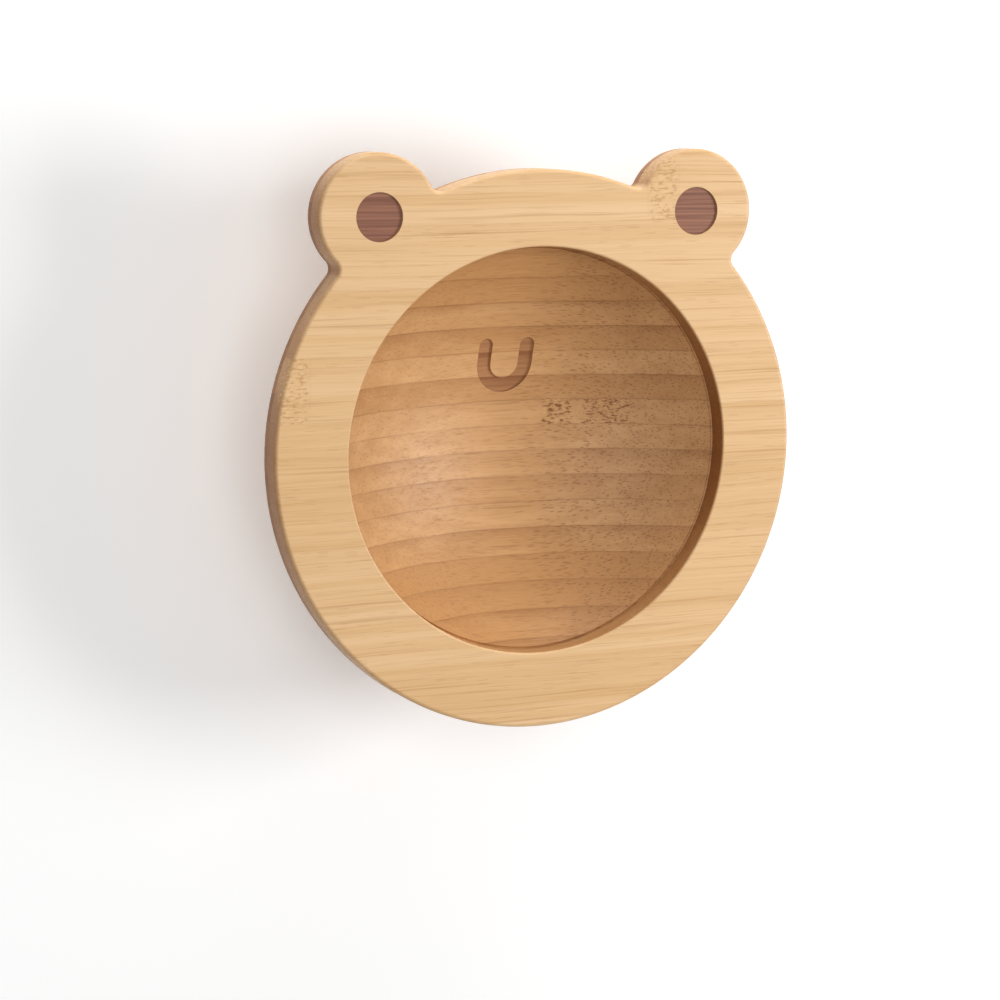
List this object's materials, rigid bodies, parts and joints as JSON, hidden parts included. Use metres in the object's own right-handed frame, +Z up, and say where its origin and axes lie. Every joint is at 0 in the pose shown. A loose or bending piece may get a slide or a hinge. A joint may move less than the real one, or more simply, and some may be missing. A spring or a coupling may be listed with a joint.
{
  "type": "suction bowl",
  "caption": "Bamboo child's bowl with an animal-head rim board, round dish and pull-off silicone suction base with release tab.",
  "frame": {"origin": "on the table, under the middle of the rim board's outline (ears included)", "axes": "+Z up through the bowl standing on its suction lip, +Y towards the two ears, +X to the right of the face"},
  "size_m": [0.175, 0.1806, 0.0598],
  "materials": {
    "face_bamboo": "oiled satin bamboo, lit face",
    "edge_bamboo": "oiled satin bamboo, darker backing ply",
    "dish_bamboo": "oiled satin bamboo, turned",
    "silicone": "matte grey-green food-grade silicone"
  },
  "bodies": {
    "suction_base": {"suction_collar": "silicone"},
    "bowl": {"face_ply": "face_bamboo", "backing_ply": "edge_bamboo", "bowl_block": "dish_bamboo"},
    "skirt": {"suction_skirt": "silicone"},
    "tab": {"release_tab": "silicone"}
  },
  "joints": [
    {"name": "bowl_lift_off", "type": "slide", "parent": "suction_base", "child": "bowl", "axis": [0, 0, 1], "range_m": [0, 0.02]},
    {"name": "skirt_press", "type": "slide", "parent": "suction_base", "child": "skirt", "axis": [0, 0, 1], "range_m": [0, 0.002], "stiffness_N_per_m": 800, "springref_m": -0.006},
    {"name": "tab_lift", "type": "hinge", "parent": "skirt", "child": "tab", "pos_m": [0, 0.05469, 0.0018], "axis": [1, 0, 0], "range_deg": [0, 70], "stiffness_Nm_per_rad": 0.02}
  ]
}
